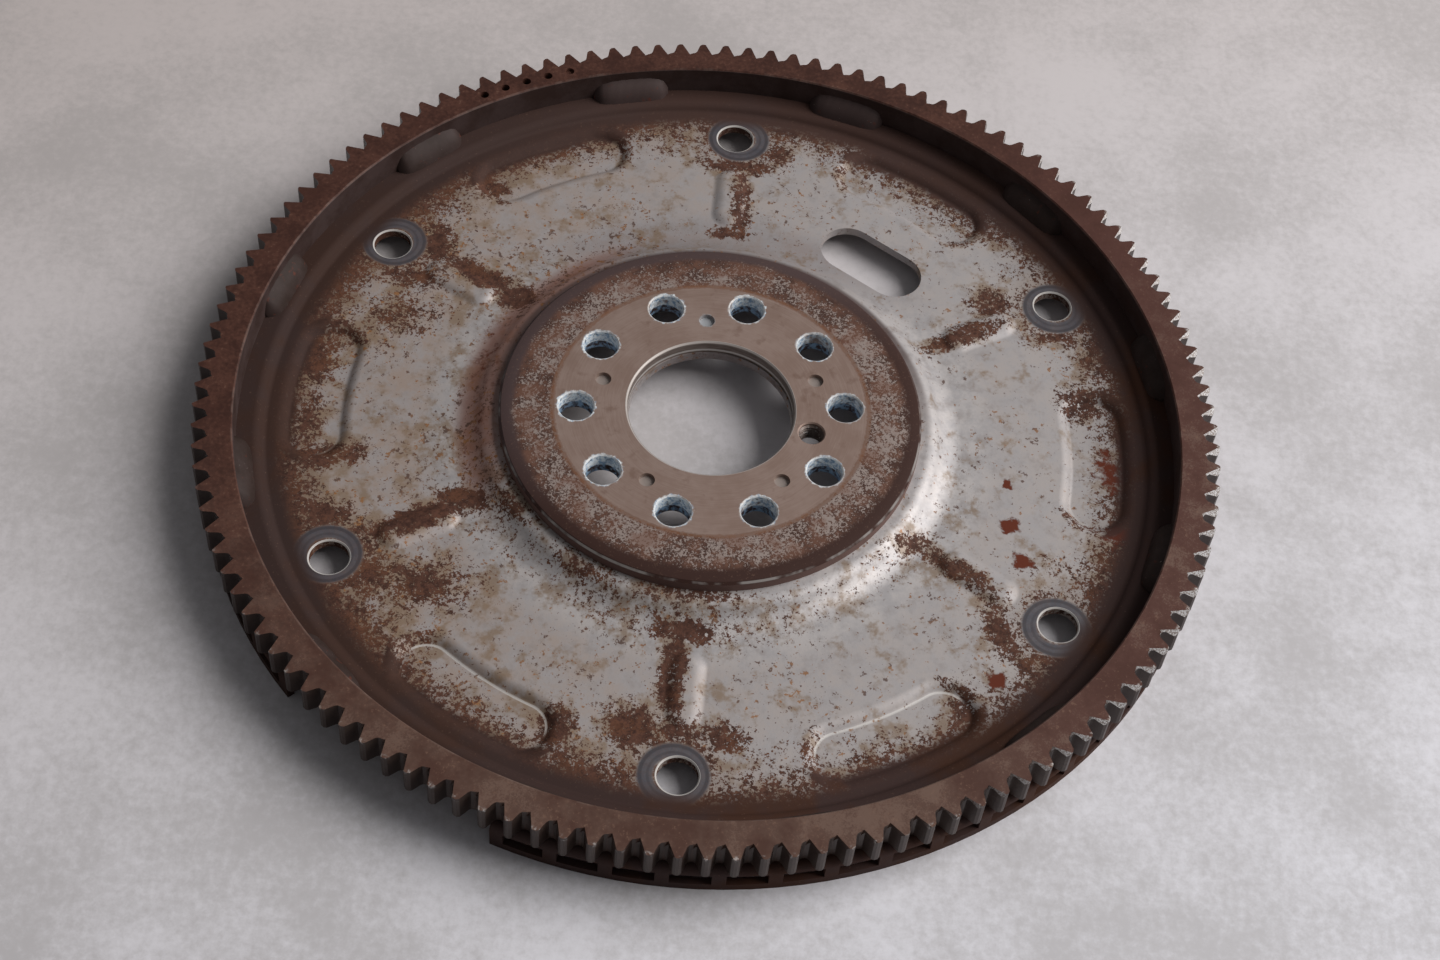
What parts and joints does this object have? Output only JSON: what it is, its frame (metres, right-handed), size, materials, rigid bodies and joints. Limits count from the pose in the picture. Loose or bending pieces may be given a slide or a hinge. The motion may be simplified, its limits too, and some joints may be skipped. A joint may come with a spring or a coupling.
{
  "type": "flexplate",
  "caption": "Round pressed steel flexplate with a welded starter ring gear, a thick bolted hub plate, converter bolt holes, sunk pads, ribs and a windowed sensor skirt.",
  "frame": {"origin": "on the axis, at the level of the lower edge of the skirt on which the part lies", "axes": "+Z along the axis from the skirt towards the ring gear and hub plate; +Y through a converter bolt hole"},
  "size_m": [0.3174, 0.3174, 0.0208],
  "materials": {
    "plate_steel": "bare rolled steel, dulled, with brown rust speckle",
    "ring_steel": "rust brown, teeth worn bright on one side",
    "hub_steel": "bare steel with rust staining",
    "weld_metal": "dark purple grey weld metal"
  },
  "bodies": {
    "root": {"drive_plate": "plate_steel", "ring_gear": "ring_steel", "hub_plate": "hub_steel", "weld_beads": "weld_metal"}
  },
  "joints": []
}
